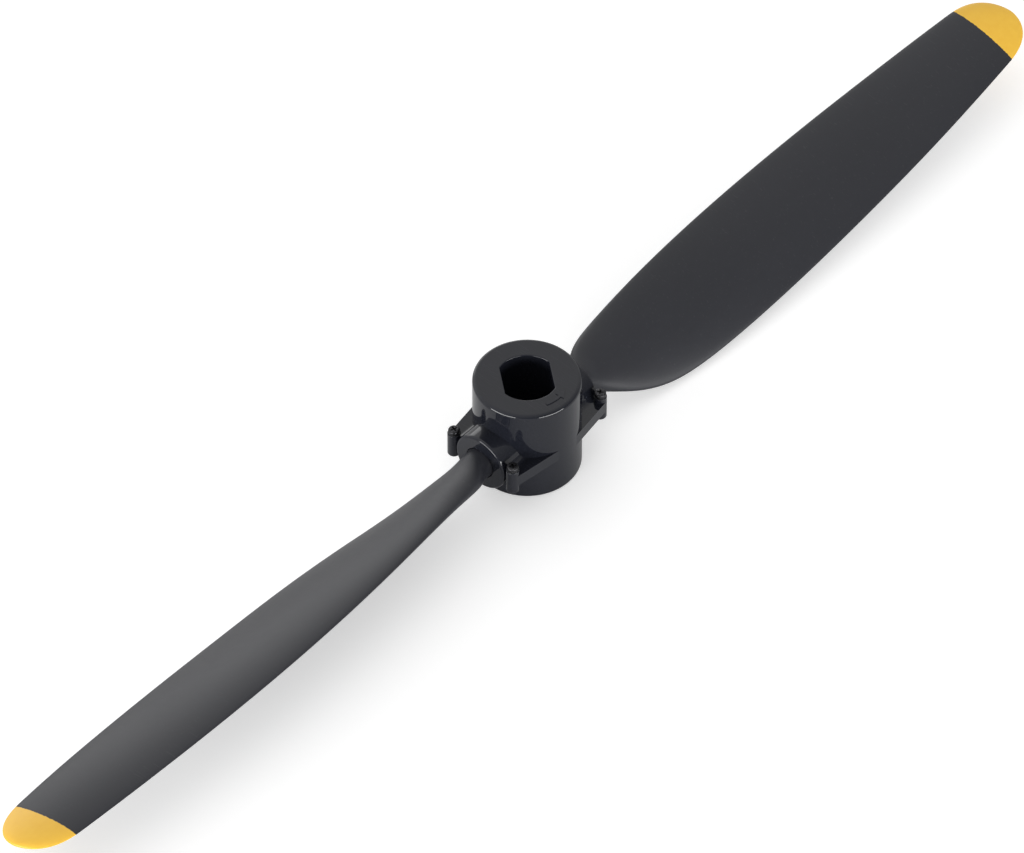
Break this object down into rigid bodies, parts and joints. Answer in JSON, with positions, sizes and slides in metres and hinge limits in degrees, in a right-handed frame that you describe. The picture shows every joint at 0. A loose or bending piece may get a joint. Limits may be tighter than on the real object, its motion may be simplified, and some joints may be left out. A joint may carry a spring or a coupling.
{
  "type": "propeller",
  "caption": "Two-blade model aircraft propeller: moulded blades with painted tips, clamped in a split hub with a double-D front pocket and a rear shaft bore.",
  "frame": {"origin": "centre of the shaft bore on the hub's rear face", "axes": "+Z forward along the shaft, in the direction of thrust; +X along blade_a; the blade axis is parallel to X at the plane where the hub halves part"},
  "size_m": [0.2794, 0.0214, 0.0214],
  "materials": {
    "hub_plastic": "glossy moulded black",
    "blade_plastic": "satin moulded black with yellow painted tips",
    "screw_steel": "black oxide"
  },
  "bodies": {
    "hub": {"hub_front_half": "hub_plastic", "hub_rear_half": "hub_plastic", "hub_screw_1": "screw_steel", "hub_screw_2": "screw_steel", "hub_screw_3": "screw_steel", "hub_screw_4": "screw_steel"},
    "blade_a": {"blade_a": "blade_plastic"},
    "blade_b": {"blade_b": "blade_plastic"}
  },
  "joints": [
    {"name": "blade_a_pitch", "type": "hinge", "parent": "hub", "child": "blade_a", "pos_m": [0.0092, 0, 0.0093], "axis": [1, 0, 0], "range_deg": [-10, 10]},
    {"name": "blade_b_pitch", "type": "hinge", "parent": "hub", "child": "blade_b", "pos_m": [-0.0092, 0, 0.0093], "axis": [-1, 0, 0], "range_deg": [-10, 10]}
  ]
}
